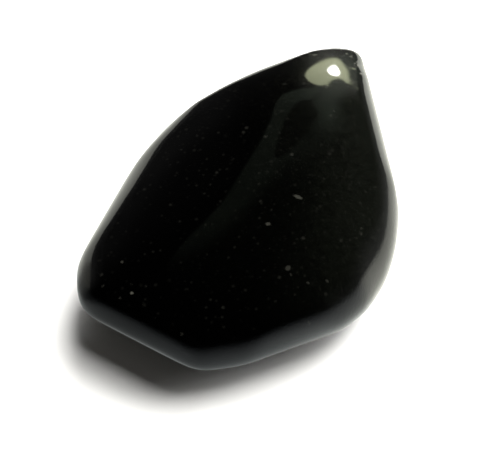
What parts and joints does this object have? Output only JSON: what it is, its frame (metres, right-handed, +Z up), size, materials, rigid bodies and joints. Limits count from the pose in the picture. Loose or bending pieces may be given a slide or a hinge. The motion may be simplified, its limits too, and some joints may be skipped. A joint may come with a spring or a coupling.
{
  "type": "tumbled obsidian stone",
  "caption": "Polished black obsidian chunk, a leaf-shaped pebble with rounded edges, one pointed end and a flat spot to rest on.",
  "frame": {"origin": "under the middle of the stone's bounding box, on the surface it rests on", "axes": "+Z up, +Y along the stone's length towards its pointed end, +X to its right"},
  "size_m": [0.023, 0.0322, 0.0093],
  "materials": {
    "volcanic_glass": "polished, near-black and opaque"
  },
  "bodies": {
    "root": {"obsidian_chunk": "volcanic_glass"}
  },
  "joints": []
}
